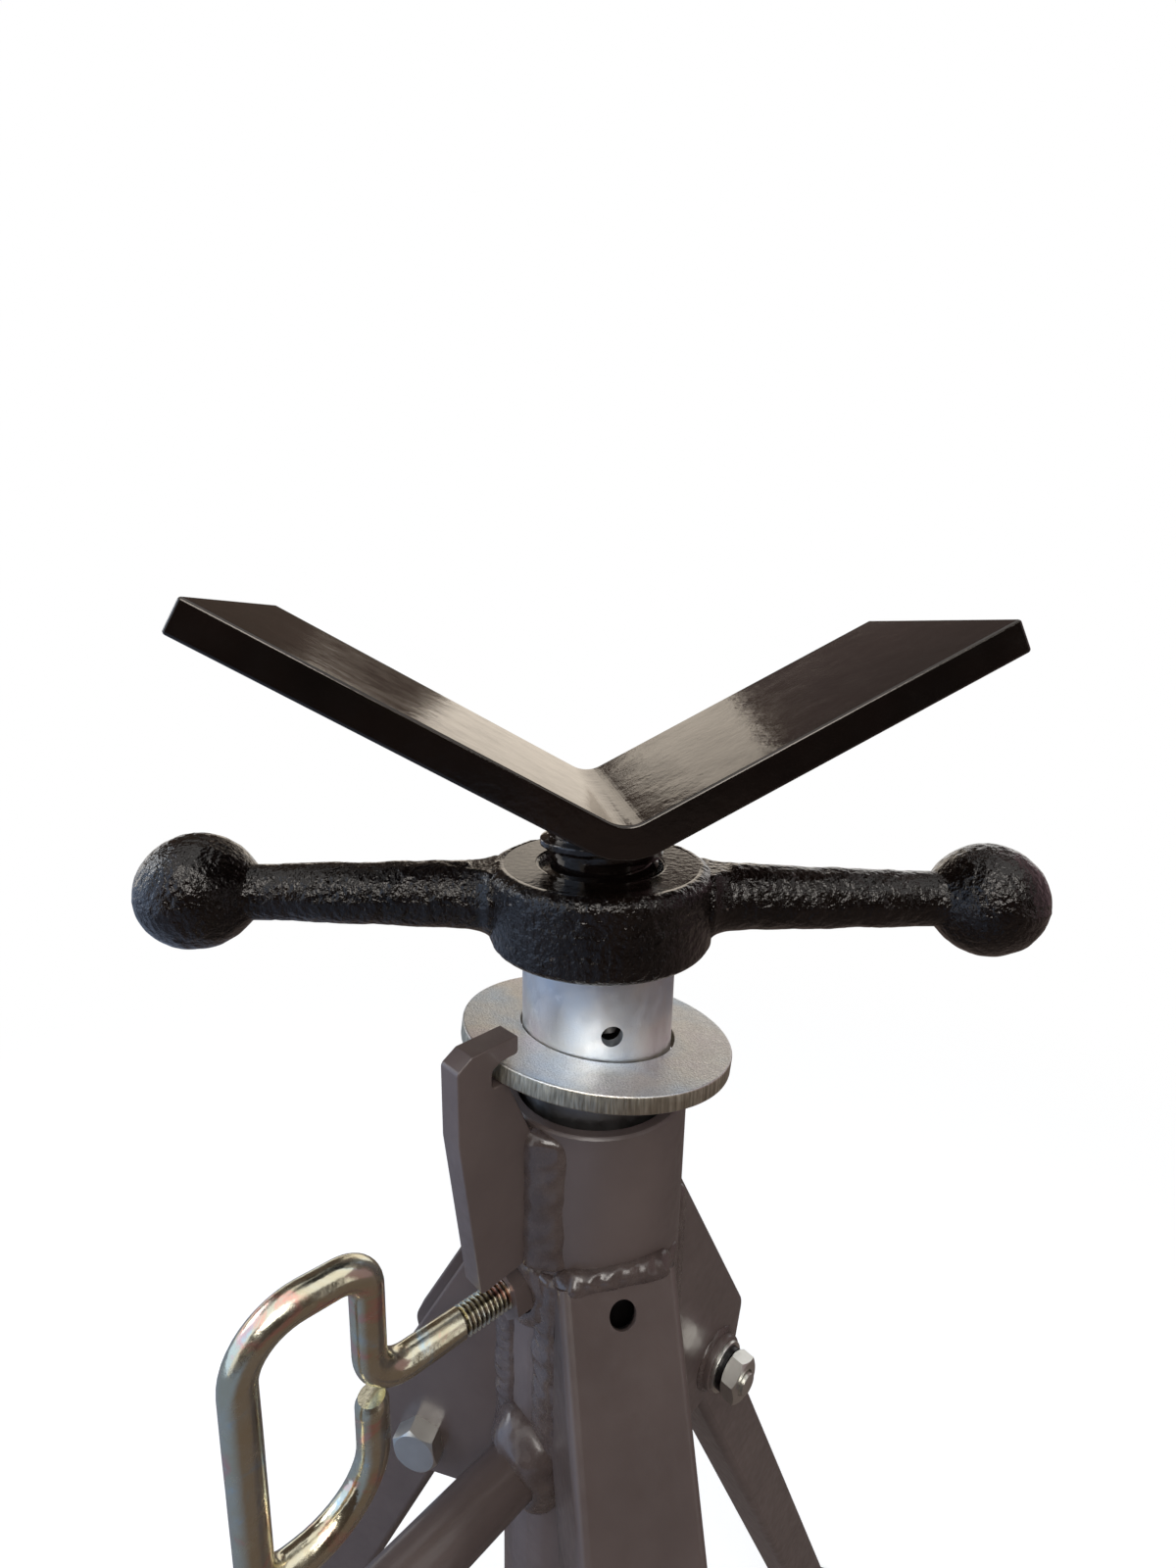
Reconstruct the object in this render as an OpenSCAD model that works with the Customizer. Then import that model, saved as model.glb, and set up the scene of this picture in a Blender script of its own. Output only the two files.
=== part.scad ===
// Pipe jack stand: a folding tripod with a telescoping post, a screw jack and a vee head.
// Millimetres, +Z up. The feet stand on z = 0 and the fixed leg points along -Y.
// Azimuths are degrees from -Y towards +X, seen from above.
// Every moving piece is drawn where the photograph shows it.

/* [Main tube] */
// outside diameter of the main tube
post_od = 60.3; // [58:0.1:64]
// bore of the main tube
post_bore = 52.5; // [51:0.1:54]
// height of the main tube's top above the floor
post_top = 615.5; // [600:0.5:660]
// height of the main tube's lower end above the floor
post_bottom = 50; // [48:1:56]

/* [Inner tube] */
// outside diameter of the sliding inner tube
inner_od = 48.3; // [47:0.1:49]
// bore of the inner tube
inner_bore = 40.9; // [40:0.1:42]
// length of the inner tube
inner_len = 600; // [560:1:602]
// how far the inner tube stands out of the main tube
inner_show = 49.5; // [48:0.5:56]
// diameter of the cross hole near its top
cross_hole_d = 6.5; // [5:0.5:9]
// height of that hole below the top of the tube
cross_hole_drop = 20.4; // [18:0.1:23]

/* [Jack nut] */
// outside diameter of the nut's hub
hub_d = 69.2; // [66:0.2:70]
// height of the hub
hub_h = 25; // [24:0.5:28]
// distance from the axis to each ball's centre
ball_reach = 123; // [110:1:140]
// diameter of the balls
ball_d = 35.5; // [32:0.5:40]
// arm diameter next to the hub
arm_root_d = 22; // [20:0.5:23]
// arm diameter next to the ball
arm_end_d = 16.8; // [14:0.2:19]
// height of the arms' centre line above the hub's foot
arm_lift = 14; // [13:0.5:15]
// turn of the handle from the X axis
handle_turn = -13.7; // [-40:0.1:40]

/* [Jack screw] */
// outside diameter of the screw
screw_d = 38.1; // [37:0.1:39]
// distance between thread crests
screw_pitch = 6.35; // [5:0.05:7]
// number of thread turns that are modelled
screw_turns = 20; // [18:1:22]
// height of the plain neck's foot above the hub
neck_gap = 4; // [2:0.5:6]

/* [Vee head] */
// thickness of the vee's plate
vee_t = 9.5; // [8:0.1:11]
// width of the plate
vee_w = 76; // [70:1:84]
// length of each arm along its lower face
vee_arm = 120.6; // [100:0.2:130]
// rise of each arm above level
vee_rise = 28.56; // [24:0.02:32]
// inner bend radius
vee_bend_r = 10; // [6:0.5:14]
// height of the lower faces' meeting line above the hub's foot
vee_apex = 34.6; // [34:0.1:38]
// turn of the vee from the X axis
vee_turn = -7.4; // [-40:0.1:40]

/* [Friction disc] */
// outside diameter of the disc
disc_d = 87.2; // [86:0.1:88]
// thickness of the disc
disc_t = 5.5; // [5:0.1:6]
// tilt of the disc, high side at the hook
disc_tilt = 9; // [8:0.1:9.5]
// gap where the tilted hole grips the inner tube
disc_grip_gap = 0.3; // [0.25:0.01:0.4]
// height of the disc's middle below the inner tube's top
disc_drop = 33.5; // [33:0.1:34]

/* [Hook plate] */
// azimuth of the hook plate and of the carry handle
side_az = -60; // [-62:0.5:-58]
// thickness of the hook plate
hook_t = 8; // [7:0.5:10]
// height of its lower edge above the clamp screw
hook_lift = 15; // [13:0.5:18]

/* [Clamp screw] */
// azimuth of the clamp screw
clamp_az = -65; // [-67:0.5:-63]
// diameter of the clamp screw's bar
clamp_d = 9.52; // [9:0.02:10]
// distance between its thread crests
clamp_pitch = 1.5875; // [1.5:0.0125:1.75]
// height of the clamp screw below the inner tube's top
clamp_drop = 111; // [109:0.5:113]
// width across flats of the welded nut
clamp_nut_af = 15; // [14:0.5:17]
// turn of the welded nut about the screw
clamp_nut_turn = 16; // [0:1:30]
// height of the welded nut above the post
clamp_nut_h = 6.4; // [5.5:0.1:7]

/* [Clamp screw's loop] */
// length of the plain shank between the thread and the loop
shank_len = 27.6; // [24:0.2:32]
// width of the loop between centre lines
loop_w = 33; // [28:0.5:40]
// height of the loop's upper run above the screw
loop_up = 40; // [34:0.5:46]
// depth of the loop's lower run below the screw
loop_down = 41.5; // [34:0.5:46]
// radius of the bend from the shank into the loop
shank_bend = 11; // [8:0.5:14]
// radius of the loop's tight bends
tight_bend = 8; // [7:0.5:9]
// radius of the loop's upper outer bend
upper_bend = 16; // [10:0.5:18]
// radius of the loop's lower inner bend
lower_bend = 22; // [14:0.5:24]

/* [Legs] */
// splay of every leg from plumb
splay = 25.5; // [24:0.1:27]
// width of the fixed leg's square tube
front_w = 38.1; // [36:0.1:40]
// width of the folding legs' square tube
rear_w = 25.4; // [24:0.05:26.5]
// wall of the square tubes
leg_wall = 3; // [2.5:0.1:3.5]
// outer corner radius of the square tubes
leg_corner = 3.5; // [3.1:0.1:5]
// distance of the leg pivots from the post's axis
pivot_r = 57.5; // [56:0.1:60]
// height of the leg pivots above the floor
pivot_z = 468; // [460:0.5:480]
// diameter of the round foot pads
pad_d = 76; // [66:1:90]
// thickness of the foot pads
pad_t = 6; // [5:0.5:8]
// diameter of the hole near the top of the fixed leg
leg_hole_d = 8.5; // [6:0.5:10]
// distance of that hole below the leg's top end
leg_hole_drop = 9.6; // [8:0.2:20]

/* [Leg brackets] */
// thickness of the bracket plates
plate_t = 5; // [4:0.5:6]
// gap between a plate and the leg
plate_gap = 0.6; // [0.4:0.05:0.8]
// rise of a plate's upper end above the pivot
plate_rise = 125; // [110:1:128]
// reach of a plate's widest corner beyond the pivot
plate_reach = 18.5; // [15:0.5:22]
// height of that corner above the pivot
plate_knee = 15; // [10:0.5:18]
// depth of a plate's lower edge below the pivot
plate_drop = 15.3; // [13:0.1:20]
// reach of a plate's lower corner beyond the pivot
plate_heel = 13; // [11:0.5:16]

/* [Pivot bolts] */
// diameter of the pivot bolts
bolt_d = 10; // [9:0.1:11]
// width across flats of the bolt heads and nuts
bolt_af = 16; // [15:0.5:17]
// height of the bolt heads
head_t = 6.4; // [5:0.1:7]
// thickness of the pivot nuts
nut_t = 6.5; // [5:0.1:8.5]
// thickness of the flat washers
washer_t = 1.6; // [1:0.1:2.5]
// thickness of the lock washers
lock_t = 2; // [1.5:0.1:2.6]
// diameter of the welded boss
boss_d = 22; // [20:0.5:23]
// length of the welded boss
boss_len = 4; // [3:0.5:6]

/* [Carry handle] */
// outside diameter of the handle's pipe
grip_d = 19.5; // [18:0.1:22]
// wall of the pipe
grip_wall = 2.6; // [2:0.1:3.2]
// gap between the clamp screw's loop and the handle
grip_gap = 14; // [10:0.5:24]
// distance between the handle's two runs
grip_span = 160; // [140:1:180]
// distance of the handle's upright from the post's axis
grip_reach = 120; // [110:1:130]
// bend radius of the pipe's centre line
grip_bend = 38; // [32:1:44]

/* [Hidden] */
post_r = post_od / 2;
inner_r = inner_od / 2;
seat_z = post_top + inner_show;
screw_r = screw_d / 2;
running_gap = 0.07;
clamp_r = clamp_d / 2;
clamp_z = seat_z - clamp_drop;
foot_r = pivot_r + pivot_z * tan(splay);
axis_y = foot_r * (1 - cos(60)) / 2;
left_az = -120;
right_az = 120;
plate_in = rear_w / 2 + plate_gap;
plate_out = plate_in + plate_t;
bolt_r = bolt_d / 2;
grip_top = clamp_z - loop_down - clamp_r - grip_gap - grip_d / 2;
grip_low = grip_top - grip_span;
arc = 128;
fine = 96;
cut = 1;

post_paint = [0.43, 0.38, 0.35];
black_paint = [0.06, 0.06, 0.065];
zinc = [0.72, 0.73, 0.75];
zinc_warm = [0.76, 0.73, 0.62];

// Places its children on the post's axis, with +X pointing out at an azimuth.
module out_at(az) {
    translate([0, axis_y, 0]) rotate([0, 0, az - 90]) children();
}

// Extrudes a shape drawn as [distance out, height], centred on its own plane.
module flat_out(t) {
    translate([0, t / 2, 0]) rotate([90, 0, 0]) linear_extrude(t) children();
}

// Straight bar between two [distance out, height] points.
module bar(p, q, r) {
    d = q - p;
    translate([p[0], 0, p[1]]) rotate([0, atan2(d[0], d[1]), 0])
        cylinder(h = norm(d), r = r, $fn = fine);
}

// Bent bar around a centre, from angle a0 to a1 in the [out, height] plane.
module bend(c, bend_r, r, a0, a1) {
    translate([c[0], 0, c[1]]) rotate([90, 0, 0]) rotate([0, 0, a0])
        rotate_extrude(angle = a1 - a0, $fn = arc) translate([bend_r, 0]) circle(r = r, $fn = fine);
}

// Corner points of a polygon with every corner rounded to its own radius.
function unit(v) = v / norm(v);
function corner_arc(a, b, c, r, steps) =
    let (
        u = unit(a - b),
        v = unit(c - b),
        half = acos(u * v) / 2,
        m = b + unit(u + v) * r / sin(half),
        s = b + u * r / tan(half),
        e = b + v * r / tan(half),
        a0 = atan2(s[1] - m[1], s[0] - m[0]),
        a1 = atan2(e[1] - m[1], e[0] - m[0]),
        turn = a1 - a0 > 180 ? a1 - a0 - 360 : (a1 - a0 < -180 ? a1 - a0 + 360 : a1 - a0)
    )
    [for (i = [0 : steps]) m + r * [cos(a0 + turn * i / steps), sin(a0 + turn * i / steps)]];
function rounded(pts, radii, steps = 6) =
    let (n = len(pts))
    [for (i = [0 : n - 1])
        for (p = radii[i] == 0 ? [pts[i]]
            : corner_arc(pts[(i + n - 1) % n], pts[i], pts[(i + 1) % n], radii[i], steps))
            p];

// Half profile of a thread, as stacked ridges from the bottom up.
function thread_profile(root, crest, pitch, turns) =
    concat([[0, 0]],
        [for (i = [0 : turns - 1])
            for (q = [[root, 0.19], [crest, 0.31], [crest, 0.69], [root, 0.81]])
                [q[0], (i + q[1]) * pitch]],
        [[root, turns * pitch], [0, turns * pitch]]);

// Post

// Round tube with softened ends.
module soft_tube(r_out, r_in, len, soft) {
    rotate_extrude($fn = arc)
        polygon([[r_in, soft / 2], [r_in + soft / 2, 0], [r_out - soft, 0], [r_out, soft],
            [r_out, len - soft], [r_out - soft, len], [r_in + soft / 2, len], [r_in, len - soft / 2]]);
}

module main_tube() {
    color(post_paint) difference() {
        translate([0, axis_y, post_bottom])
            soft_tube(post_r, post_bore / 2, post_top - post_bottom, 0.8);
        out_at(clamp_az) bar([inner_r - cut, clamp_z], [post_r + cut, clamp_z], clamp_r + 0.6);
    }
}

module inner_tube() {
    color(zinc) difference() {
        translate([0, axis_y, seat_z - inner_len])
            soft_tube(inner_r, inner_bore / 2, inner_len, 0.5);
        out_at(-6) bar([inner_bore / 2 - cut, seat_z - cross_hole_drop],
            [inner_r + cut, seat_z - cross_hole_drop], cross_hole_d / 2);
    }
}

// Friction disc and the hook that holds its high edge

disc_hole_r = (inner_r + disc_t / 2 * sin(disc_tilt)) / cos(disc_tilt) + disc_grip_gap;
disc_z = seat_z - disc_drop;
disc_rim = [disc_d / 2 * cos(disc_tilt) + disc_t / 2 * sin(disc_tilt),
    disc_z + disc_d / 2 * sin(disc_tilt) - disc_t / 2 * cos(disc_tilt)];

module friction_disc() {
    r = disc_d / 2;
    half = disc_t / 2;
    soft = 0.4;
    color(zinc) out_at(side_az) translate([0, 0, disc_z]) rotate([0, -disc_tilt, 0])
        rotate_extrude($fn = arc)
            polygon([[disc_hole_r, -half], [r - soft, -half], [r, -half + soft], [r, half - soft],
                [r - soft, half], [disc_hole_r, half]]);
}

// The mouth holds the rim with a gap under it, over it and behind it.
module hook_plate() {
    rim = disc_rim[0];
    lip = disc_rim[1] - 0.8;
    roof = disc_rim[1] + disc_t + 0.75;
    behind = rim + 2.4;
    beak = rim - 7;
    top = seat_z - disc_drop + 16;
    low = clamp_z + hook_lift;
    foot = post_r - 4;
    mouth = [[rim - 3, lip], [behind, lip], [behind, roof - 1.6], [rim - 1.2, roof], [beak, roof]];
    back = [[beak, top], [rim + 9, top], [rim + 14, top - 3], [rim + 13.8, top - 25], [rim + 6.7, low]];
    root = [[foot, low], [foot, post_top - 3], [post_r + 1.5, post_top - 1.5]];
    radii = [0.8, 1.2, 1.8, 0.8, 1.2, 0.8, 1.2, 1.8, 6, 1.5, 0, 0, 2];
    color(post_paint) difference() {
        out_at(side_az) flat_out(hook_t) polygon(rounded(concat(mouth, back, root), radii));
        translate([0, axis_y, low - cut]) cylinder(h = post_top, r = post_r, $fn = arc);
    }
}

// Clamp screw: welded nut, threaded end and bent handle

module clamp_nut() {
    sunk = 2;
    color(post_paint) difference() {
        out_at(clamp_az) translate([post_r - sunk, 0, clamp_z]) rotate([0, 90, 0]) rotate(clamp_nut_turn)
            cylinder(h = clamp_nut_h + sunk, r = clamp_nut_af / 2 / cos(30), $fn = 6);
        translate([0, axis_y, clamp_z - clamp_nut_af]) cylinder(h = 2 * clamp_nut_af, r = post_r, $fn = arc);
        out_at(clamp_az) bar([0, clamp_z], [2 * post_r, clamp_z], clamp_r + running_gap);
    }
}

clamp_tip = inner_r + 0.3;
clamp_turns = 18;
shank_x = clamp_tip + clamp_turns * clamp_pitch;

module clamp_thread() {
    color(zinc_warm) out_at(clamp_az) translate([clamp_tip, 0, clamp_z]) rotate([0, 90, 0])
        rotate_extrude($fn = fine)
            polygon(thread_profile(clamp_r - 0.9, clamp_r, clamp_pitch, clamp_turns));
}

module clamp_handle() {
    r = clamp_r;
    z = clamp_z;
    near = shank_x + shank_len;
    far = near + loop_w;
    high = z + loop_up;
    low = z - loop_down;
    color(zinc_warm) out_at(clamp_az) union() {
        bar([shank_x, z], [near - shank_bend, z], r);
        bend([near - shank_bend, z + shank_bend], shank_bend, r, -90, 0);
        bar([near, z + shank_bend], [near, high - tight_bend], r);
        bend([near + tight_bend, high - tight_bend], tight_bend, r, 90, 180);
        bar([near + tight_bend, high], [far - upper_bend, high], r);
        bend([far - upper_bend, high - upper_bend], upper_bend, r, 0, 90);
        bar([far, high - upper_bend], [far, low + tight_bend], r);
        bend([far - tight_bend, low + tight_bend], tight_bend, r, -90, 0);
        bar([far - tight_bend, low], [near + lower_bend, low], r);
        bend([near + lower_bend, low + lower_bend], lower_bend, r, 180, 270);
        bar([near, low + lower_bend], [near, z - r], r);
    }
}

// Screw jack

module jack_nut() {
    root = 20;
    hub = [[0, 0], [hub_d / 2, 0], [hub_d / 2, hub_h], [0, hub_h]];
    color(black_paint) translate([0, axis_y, seat_z]) rotate([0, 0, handle_turn]) difference() {
        union() {
            rotate_extrude($fn = arc) polygon(rounded(hub, [0, 4, 3, 0]));
            for (side = [0, 180]) rotate([0, 0, side]) translate([0, 0, arm_lift]) {
                translate([root, 0, 0]) rotate([0, 90, 0])
                    cylinder(h = ball_reach - root, r1 = arm_root_d / 2, r2 = arm_end_d / 2 - 0.4, $fn = fine);
                translate([ball_reach, 0, 0]) sphere(d = ball_d, $fn = fine);
            }
        }
        translate([0, 0, -cut]) cylinder(h = hub_h + 2 * cut, r = screw_r + running_gap, $fn = arc);
    }
}

screw_top = seat_z + hub_h + neck_gap;

module acme_screw() {
    color(black_paint) translate([0, axis_y, screw_top - screw_turns * screw_pitch])
        rotate_extrude($fn = arc)
            polygon(thread_profile(screw_r - screw_pitch / 2, screw_r, screw_pitch, screw_turns));
}

// Cross-section of the vee's plate, drawn as [along, height].
module vee_section() {
    along = [cos(vee_rise), sin(vee_rise)];
    up = [-sin(vee_rise), cos(vee_rise)] * vee_t;
    tip = [0, vee_apex] + along * vee_arm;
    top = tip + up;
    polygon(rounded([[0, vee_apex], tip, top, [0, vee_apex + vee_t / cos(vee_rise)],
        [-top[0], top[1]], [-tip[0], tip[1]]],
        [vee_bend_r + vee_t, 1, 1, vee_bend_r, 1, 1], 12));
}

module vee_plate() {
    translate([0, axis_y, seat_z]) rotate([0, 0, vee_turn]) flat_out(vee_w) vee_section();
}

module vee_head() {
    color(black_paint) vee_plate();
}

// The screw's plain top end, cut to the slopes of the vee.
module screw_neck() {
    wide = 3 * screw_r;
    slope = tan(vee_rise);
    tall = vee_apex + screw_r * slope - hub_h - neck_gap + 3;
    color(black_paint) difference() {
        translate([0, axis_y, screw_top]) cylinder(h = tall, r = screw_r - 0.05, $fn = arc);
        translate([0, axis_y, seat_z]) rotate([0, 0, vee_turn]) flat_out(2 * vee_w)
            polygon([[0, vee_apex], [wide, vee_apex + wide * slope], [wide, 3 * wide],
                [-wide, 3 * wide], [-wide, vee_apex + wide * slope]]);
    }
}

// Legs

module square_tube_section(w) {
    difference() {
        union() {
            square([w - 2 * leg_corner, w], center = true);
            square([w, w - 2 * leg_corner], center = true);
            for (x = [-1, 1]) for (y = [-1, 1])
                translate([x, y] * (w / 2 - leg_corner)) circle(r = leg_corner, $fn = 48);
        }
        square(w - 2 * leg_wall, center = true);
    }
}

// Square tube that stands on its foot point and leans in by the splay.
module leaning_tube(w, len) {
    intersection() {
        translate([foot_r, 0, 0]) rotate([0, -splay, 0]) translate([0, 0, -w])
            linear_extrude(len + w) square_tube_section(w);
        translate([foot_r, 0, pad_t + post_top]) cube([4 * foot_r, 4 * w, 2 * post_top], center = true);
    }
}

module foot(az) {
    color(post_paint) out_at(az) translate([foot_r, 0, 0])
        rotate_extrude($fn = arc)
            polygon([[0, 0], [pad_d / 2 - 0.8, 0], [pad_d / 2, 0.8], [pad_d / 2, pad_t - 0.8],
                [pad_d / 2 - 0.8, pad_t], [0, pad_t]]);
}

front_len = (foot_r + front_w / 2 * cos(splay) - post_r - 1.3) / sin(splay);

module front_leg() {
    color(post_paint) difference() {
        out_at(0) leaning_tube(front_w, front_len);
        translate([0, axis_y, post_bottom]) cylinder(h = post_top, r = post_r, $fn = arc);
        out_at(0) translate([foot_r, 0, 0]) rotate([0, -splay, 0]) translate([0, 0, front_len - leg_hole_drop])
            rotate([0, 90, 0]) cylinder(h = front_w, r = leg_hole_d / 2, $fn = fine);
    }
}

pivot_run = pivot_z / cos(splay);
rear_over = (pivot_r - post_r - 0.4 - rear_w / 2 * cos(splay)) / sin(splay);

module rear_leg(az) {
    color(post_paint) difference() {
        out_at(az) leaning_tube(rear_w, pivot_run + rear_over);
        out_at(az) translate([pivot_r, 0, pivot_z]) rotate([90, 0, 0])
            cylinder(h = 2 * rear_w, r = bolt_r + running_gap, center = true, $fn = fine);
    }
}

module front_foot() {
    foot(0);
}

module rear_leg_left() {
    rear_leg(left_az);
}

module rear_leg_right() {
    rear_leg(right_az);
}

module rear_foot_left() {
    foot(left_az);
}

module rear_foot_right() {
    foot(right_az);
}

// Leg brackets and pivots

// One bracket plate; side is 1 for the bolt head's side and -1 for the nut's side.
module bracket_plate(az, side) {
    root = post_r / 2;
    pts = [[root, pivot_z + plate_rise], [pivot_r + plate_reach, pivot_z + plate_knee],
        [pivot_r + plate_heel, pivot_z - plate_drop], [root, pivot_z - plate_drop]];
    color(post_paint) difference() {
        out_at(az) translate([0, side * (plate_in + plate_out) / 2, 0]) flat_out(plate_t)
            polygon(rounded(pts, [0, 9, 3, 0]));
        translate([0, axis_y, post_bottom]) cylinder(h = post_top, r = post_r, $fn = arc);
        out_at(az) translate([pivot_r, 0, pivot_z]) rotate([90, 0, 0])
            cylinder(h = 6 * plate_out, r = bolt_r + 0.25, center = true, $fn = fine);
    }
}

module left_plate_head_side() {
    bracket_plate(left_az, 1);
}

module left_plate_nut_side() {
    bracket_plate(left_az, -1);
}

module right_plate_head_side() {
    bracket_plate(right_az, 1);
}

module right_plate_nut_side() {
    bracket_plate(right_az, -1);
}

// Puts its children on a leg's pivot line, with their base at offset a.
module on_pivot(az, a) {
    out_at(az) translate([pivot_r, a, pivot_z]) rotate([-90, 0, 0]) children();
}

boss_end = -plate_out - boss_len;
lock_end = boss_end - washer_t - lock_t;
nut_end = lock_end - nut_t;

// Flat ring around a leg's pivot line, with its base at offset a.
module pivot_ring(az, a, t, r) {
    on_pivot(az, a) difference() {
        cylinder(h = t, r = r, $fn = fine);
        translate([0, 0, -cut]) cylinder(h = t + 2 * cut, r = bolt_r + 0.25, $fn = fine);
    }
}

module pivot_bosses() {
    color(post_paint) for (az = [left_az, right_az]) pivot_ring(az, boss_end, boss_len, boss_d / 2);
}

module pivot_washers() {
    color(zinc) for (az = [left_az, right_az])
        pivot_ring(az, boss_end - washer_t, washer_t, bolt_af / 2 + 1.8);
}

module pivot_lock_washers() {
    color(zinc) for (az = [left_az, right_az]) pivot_ring(az, lock_end, lock_t, bolt_af / 2 + 0.4);
}

// Hexagon with its corners turned off at the given end, 1 for the top and -1 for the bottom.
module hex_body(h, end) {
    r = bolt_af / 2 / cos(30);
    intersection() {
        cylinder(h = h, r = r, $fn = 6);
        translate([0, 0, end == 1 ? 0 : h]) rotate([end == 1 ? 0 : 180, 0, 0])
            rotate_extrude($fn = fine)
                polygon([[0, 0], [r + 1, 0], [r + 1, h - 1.8], [bolt_af / 2 - 0.4, h], [0, h]]);
    }
}

module pivot_bolts() {
    end = nut_end - 1.5;
    len = plate_out - end + 1;
    color(zinc) for (az = [left_az, right_az]) union() {
        on_pivot(az, plate_out) hex_body(head_t, 1);
        on_pivot(az, end) rotate_extrude($fn = fine)
            polygon([[0, 0], [bolt_r - 1, 0], [bolt_r, 1], [bolt_r, len], [0, len]]);
    }
}

module pivot_nuts() {
    color(zinc) for (az = [left_az, right_az])
        on_pivot(az, nut_end) difference() {
            hex_body(nut_t, -1);
            translate([0, 0, -cut]) cylinder(h = nut_t + 2 * cut, r = bolt_r + 0.05, $fn = fine);
        }
}

// Carry handle

module grip_path(r, start) {
    up = grip_reach - grip_bend;
    bar([start, grip_top], [up, grip_top], r);
    bend([up, grip_top - grip_bend], grip_bend, r, 0, 90);
    bar([grip_reach, grip_top - grip_bend], [grip_reach, grip_low + grip_bend], r);
    bend([up, grip_low + grip_bend], grip_bend, r, -90, 0);
    bar([up, grip_low], [start, grip_low], r);
}

module carry_handle() {
    color(post_paint) difference() {
        out_at(side_az) grip_path(grip_d / 2, post_r - 8);
        out_at(side_az) grip_path(grip_d / 2 - grip_wall, post_r - 9);
        translate([0, axis_y, post_bottom]) cylinder(h = post_top, r = post_r, $fn = arc);
    }
}

main_tube();
front_leg();
front_foot();
hook_plate();
clamp_nut();
carry_handle();
left_plate_head_side();
left_plate_nut_side();
right_plate_head_side();
right_plate_nut_side();
pivot_bosses();
pivot_bolts();
pivot_washers();
pivot_lock_washers();
pivot_nuts();
inner_tube();
friction_disc();
jack_nut();
acme_screw();
screw_neck();
vee_head();
clamp_thread();
clamp_handle();
rear_leg_left();
rear_foot_left();
rear_leg_right();
rear_foot_right();
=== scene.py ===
"""Pipe jack stand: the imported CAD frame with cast, threaded, bent and welded pieces, finishes and light."""
import math

import bmesh
import bpy
from mathutils import Matrix, Vector, noise

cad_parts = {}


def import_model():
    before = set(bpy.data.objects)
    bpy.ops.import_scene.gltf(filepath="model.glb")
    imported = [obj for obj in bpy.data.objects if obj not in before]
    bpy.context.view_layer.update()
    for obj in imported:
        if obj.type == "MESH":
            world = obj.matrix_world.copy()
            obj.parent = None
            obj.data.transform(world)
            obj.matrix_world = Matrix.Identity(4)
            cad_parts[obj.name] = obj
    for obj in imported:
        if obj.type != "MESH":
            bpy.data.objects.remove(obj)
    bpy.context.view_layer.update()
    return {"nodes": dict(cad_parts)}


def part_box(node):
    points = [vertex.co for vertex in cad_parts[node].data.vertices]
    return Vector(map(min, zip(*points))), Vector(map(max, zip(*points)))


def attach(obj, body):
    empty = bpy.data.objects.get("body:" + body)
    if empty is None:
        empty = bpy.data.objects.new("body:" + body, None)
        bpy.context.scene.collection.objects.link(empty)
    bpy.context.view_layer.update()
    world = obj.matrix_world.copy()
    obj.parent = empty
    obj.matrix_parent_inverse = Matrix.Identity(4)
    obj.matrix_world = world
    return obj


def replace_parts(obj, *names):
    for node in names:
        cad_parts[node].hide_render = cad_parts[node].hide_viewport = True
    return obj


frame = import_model()

# Azimuths in degrees, from the front (-Y) towards +X

HOOK_AZ = -60
CLAMP_AZ = -65
LEFT_AZ = -120
RIGHT_AZ = 120

# Slopes and turns

SPLAY = math.radians(25.5)
VEE_TURN = math.radians(-7.4)
VEE_RISE = math.radians(28.56)
NUT_TURN = math.radians(-13.7)

# Sizes in metres; the ones that can be measured are taken from the frame

MM = 0.001
Z = Vector((0, 0, 1))


def low(node):
    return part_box(node)[0]


def high(node):
    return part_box(node)[1]


def centre(node):
    return (Vector(low(node)) + Vector(high(node))) / 2


AXIS_Y = centre("main_tube").y
POST_R = (high("main_tube")[0] - low("main_tube")[0]) / 2
POST_TOP = high("main_tube")[2]
SEAT_Z = high("inner_tube")[2]
INNER_R = (high("inner_tube")[0] - low("inner_tube")[0]) / 2
SCREW_R = (high("acme_screw")[0] - low("acme_screw")[0]) / 2
SCREW_Z = (low("acme_screw")[2], high("acme_screw")[2])
SCREW_PITCH = 6.35 * MM
VEE_APEX = SEAT_Z + 34.6 * MM
HUB_R = 34.6 * MM
HUB_H = 25 * MM
CLAMP_Z = centre("clamp_thread").z
CLAMP_R = (high("clamp_thread")[2] - low("clamp_thread")[2]) / 2
CLAMP_PITCH = 1.5875 * MM
CLAMP_TIP = INNER_R + 0.3 * MM
CLAMP_TURNS = 18
CLAMP_GROOVE = 0.9 * MM
CLAMP_NUT_R = 8.4 * MM
HOOK_HALF = 4 * MM
PIVOT_R = 57.5 * MM
PIVOT_Z = 468 * MM
PLATE_OUT = 18.3 * MM
BOSS_R = 11 * MM
BOSS_END = -PLATE_OUT - 4 * MM
LOCK_END = BOSS_END - 3.6 * MM
NUT_H = 6.5 * MM
NUT_END = LOCK_END - NUT_H
BOLT_R = 5 * MM
BOLT_AF = 16 * MM
BOLT_HEAD_H = 6.4 * MM
BOLT_PITCH = 1.5 * MM
BOLT_GROOVE = 0.75 * MM
FRONT_W = 38.1 * MM
REAR_W = 25.4 * MM
LEG_INSIDE = 17 * MM
PAD_R = 38 * MM
PAD_T = 6 * MM
FOOT_R = AXIS_Y - low("front_foot")[1] - PAD_R
GRIP_R = 9.75 * MM
GRIP_TOP = high("carry_handle")[2] - GRIP_R
GRIP_LOW = low("carry_handle")[2] + GRIP_R


# Directions and places

def out_dir(az):
    a = math.radians(az)
    return Vector((math.sin(a), -math.cos(a), 0))


def side_dir(az):
    a = math.radians(az)
    return Vector((math.cos(a), math.sin(a), 0))


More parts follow.
